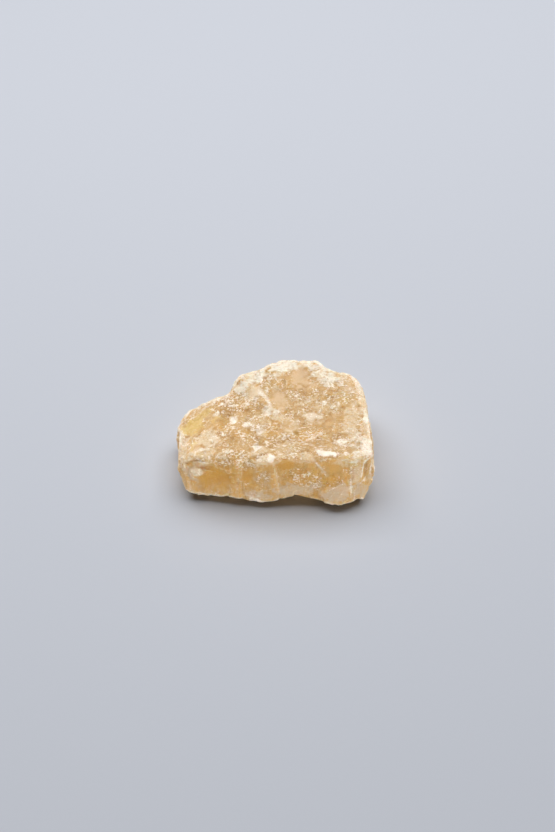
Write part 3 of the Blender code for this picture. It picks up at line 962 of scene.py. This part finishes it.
def bruise_whiteness(n, noises):
    """How white the worn edges and the crushed places are."""
    worn = n.sum(n.attribute("edge"), n.range(noises["grain"], *WORN_GRAIN))
    crumbs = n.range(n.sum(noises["grain"], noises["flecks"]), *CRUMBS)
    crushed = n.attribute("white")
    bruised = n.sum(n.product(crushed, BRUISE_GAIN), crumbs)
    return n.most(n.range(worn, *WORN_EDGES), n.range(bruised, *BRUISES), n.range(crushed, *PALE_BRUISES))


def milky_veil(n, noises):
    """How much of a soft whitish veil lies over the stone, finely torn along its fibres."""
    ragged = n.range(noises["ragged"], *VEIL_RAGGED)
    torn = n.range(noises["fibres"], *VEIL_FIBRES)
    return n.range(n.sum(n.attribute("milky"), ragged, torn), *VEIL)


def stone_masks(n):
    """The masks that the coats and the flecks lie in: stored ones, and others worked out from them."""
    masks = {name: n.attribute(name) for name in ("front", "sprinkled", "low")}
    front = masks["front"]
    masks["rugged"] = n.range(n.attribute("smooth"), *RUGGED)
    masks["sugary"] = n.product(masks["rugged"], n.range(front, *SUGARY_BY_FRONT))
    masks["rugged_front"] = n.product(front, masks["rugged"])
    masks["less_in_front"] = n.range(front, *FIBRES_BY_FRONT)
    masks["sprinkled_fleck_shade"] = n.range(masks["sprinkled"], *FLECK_SHADE_BY_SPRINKLED)
    return masks


def calcite_material():
    material = bpy.data.materials.new("orange_calcite")
    n = Nodes(material)
    metres = n.add("ShaderNodeTexCoord").outputs["Object"]
    place = n.add("ShaderNodeVectorMath", {0: metres, "Scale": 1 / MM}, operation="SCALE").outputs[0]
    noises = {name: n.noise(place, *settings) for name, settings in NOISES.items()}
    noises["crest_highlight"] = n.attribute("crest_highlight")
    masks = stone_masks(n)

    veil = milky_veil(n, noises)
    whiteness = n.most(fleck_whiteness(n, place, masks, noises), bruise_whiteness(n, noises))
    colour = n.mix(veil, ground_colour(n, masks, noises), MILK)
    n.shade("Base Color", n.mix(whiteness, colour, WHITE))
    whiteness = n.most(whiteness, veil)
    height = n.sum(facets(n, place), n.product(noises["grain"], GRAIN_HEIGHT))
    height = n.sum(n.product(height, masks["rugged"]), n.product(whiteness, WHITE_HEIGHT))
    n.shade("Normal", n.bump(height, BUMP_STRENGTH, BUMP_DISTANCE))
    n.shade("Roughness", n.range(noises["grain"], *ROUGHNESS_BY_GRAIN))
    scatter = n.range(whiteness, *SCATTER_BY_WHITENESS)
    n.shade("Subsurface Weight", n.product(scatter, n.range(masks["front"], *SCATTER_BY_FRONT)))
    n.shade("Subsurface Radius", SCATTER_RADIUS)
    n.shade("Subsurface Scale", SCATTER_SCALE)
    n.shade("IOR", REFRACTION)
    n.shade("Specular IOR Level", SPECULAR)
    return material


# --- the floor, the light and the camera --------------------------------------------------------------------

FLOOR_COLOUR = (0.593, 0.613, 0.662, 1)
FLOOR_SIZE = 6.0
FLOOR_ROUGHNESS = 0.9
PAPER_GRAIN = (0.0, EVEN, 900.0, 2, 0.55)  # as the stone's noises, but per metre
PAPER_BUMP_STRENGTH = 0.05
PAPER_BUMP_DISTANCE = 0.0002
KEY_POWER = 10.6
KEY_PLACE = (-0.02, 0.30, 0.78)
KEY_SIZE = (1.3, 0.7)
KEY_COLOUR = (0.97, 0.98, 1.0)
FILL_POWERS = (1.75, 1.75, 1.75, 2.4)  # to the back right, back left, front left and front right
FIRST_FILL_DEGREES = 45
FILL_DISTANCE = 0.5
FILL_HEIGHT = 0.04
FILL_SIZE = (0.5, 0.3)
FILL_COLOUR = (1.0, 0.97, 0.93)
LAMP_TARGET = (0, 0, 0.01)
WORLD_COLOUR = (0.92, 0.94, 1.0, 1)
WORLD_STRENGTH = 0.02


def plain_floor():
    half = FLOOR_SIZE / 2
    corners = [(-half, -half, 0), (half, -half, 0), (half, half, 0), (-half, half, 0)]
    sheet = bpy.data.meshes.new("floor")
    sheet.from_pydata(corners, [], [(0, 1, 2, 3)])
    floor = link("floor", sheet)
    material = bpy.data.materials.new("floor_paper")
    n = Nodes(material)
    place = n.add("ShaderNodeTexCoord").outputs["Object"]
    grain = n.noise(place, *PAPER_GRAIN)
    n.shade("Base Color", FLOOR_COLOUR)
    n.shade("Roughness", FLOOR_ROUGHNESS)
    n.shade("Normal", n.bump(grain, PAPER_BUMP_STRENGTH, PAPER_BUMP_DISTANCE))
    sheet.materials.append(material)


def aimed(name, data, location, target):
    made = link(name, data)
    made.location = location
    made.rotation_euler = (Vector(target) - Vector(location)).to_track_quat("-Z", "Y").to_euler()
    return made


def softbox(name, location, size, power, colour):
    lamp = bpy.data.lights.new(name, "AREA")
    lamp.shape = "RECTANGLE"
    lamp.size, lamp.size_y = size
    lamp.energy = power
    lamp.color = colour
    return aimed(name, lamp, location, LAMP_TARGET)


def stone_fills(stone):
    """Weak lamps low around the stone, which light the stone alone, as light from inside it would."""
    stone_only = bpy.data.collections.new("stone_only")
    stone_only.objects.link(stone)
    for i, power in enumerate(FILL_POWERS):
        degrees = FIRST_FILL_DEGREES + 360 / len(FILL_POWERS) * i
        turn = Matrix.Rotation(math.radians(degrees), 3, "Z")
        location = turn @ Vector((FILL_DISTANCE, 0, FILL_HEIGHT))
        fill = softbox(f"fill_{i}", location, FILL_SIZE, power, FILL_COLOUR)
        fill.light_linking.receiver_collection = stone_only


def dim_world():
    world = bpy.data.worlds.new("studio")
    world.use_nodes = True
    background = world.node_tree.nodes["Background"]
    background.inputs["Color"].default_value = WORLD_COLOUR
    background.inputs["Strength"].default_value = WORLD_STRENGTH
    bpy.context.scene.world = world


def photograph_camera():
    camera = bpy.data.cameras.new("camera")
    camera.sensor_width = SENSOR_WIDTH_MM
    camera.lens = FOCAL_PIXELS / max(IMAGE_WIDTH, IMAGE_HEIGHT) * SENSOR_WIDTH_MM
    camera.clip_start = NEAREST
    bpy.context.scene.camera = aimed("camera", camera, CAMERA_PLACE, CAMERA_TARGET)


piece = fine_copy(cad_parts["calcite"], "calcite_stone")
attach(piece, "root")
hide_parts("calcite")
skin = Skin(piece.data)
skin.break_up()
store(piece.data, skin.masks())
piece.data.materials.clear()
piece.data.materials.append(calcite_material())

plain_floor()
softbox("overhead_softbox", KEY_PLACE, KEY_SIZE, KEY_POWER, KEY_COLOUR)
stone_fills(piece)
dim_world()
photograph_camera()
bpy.context.scene.view_settings.view_transform = "Standard"
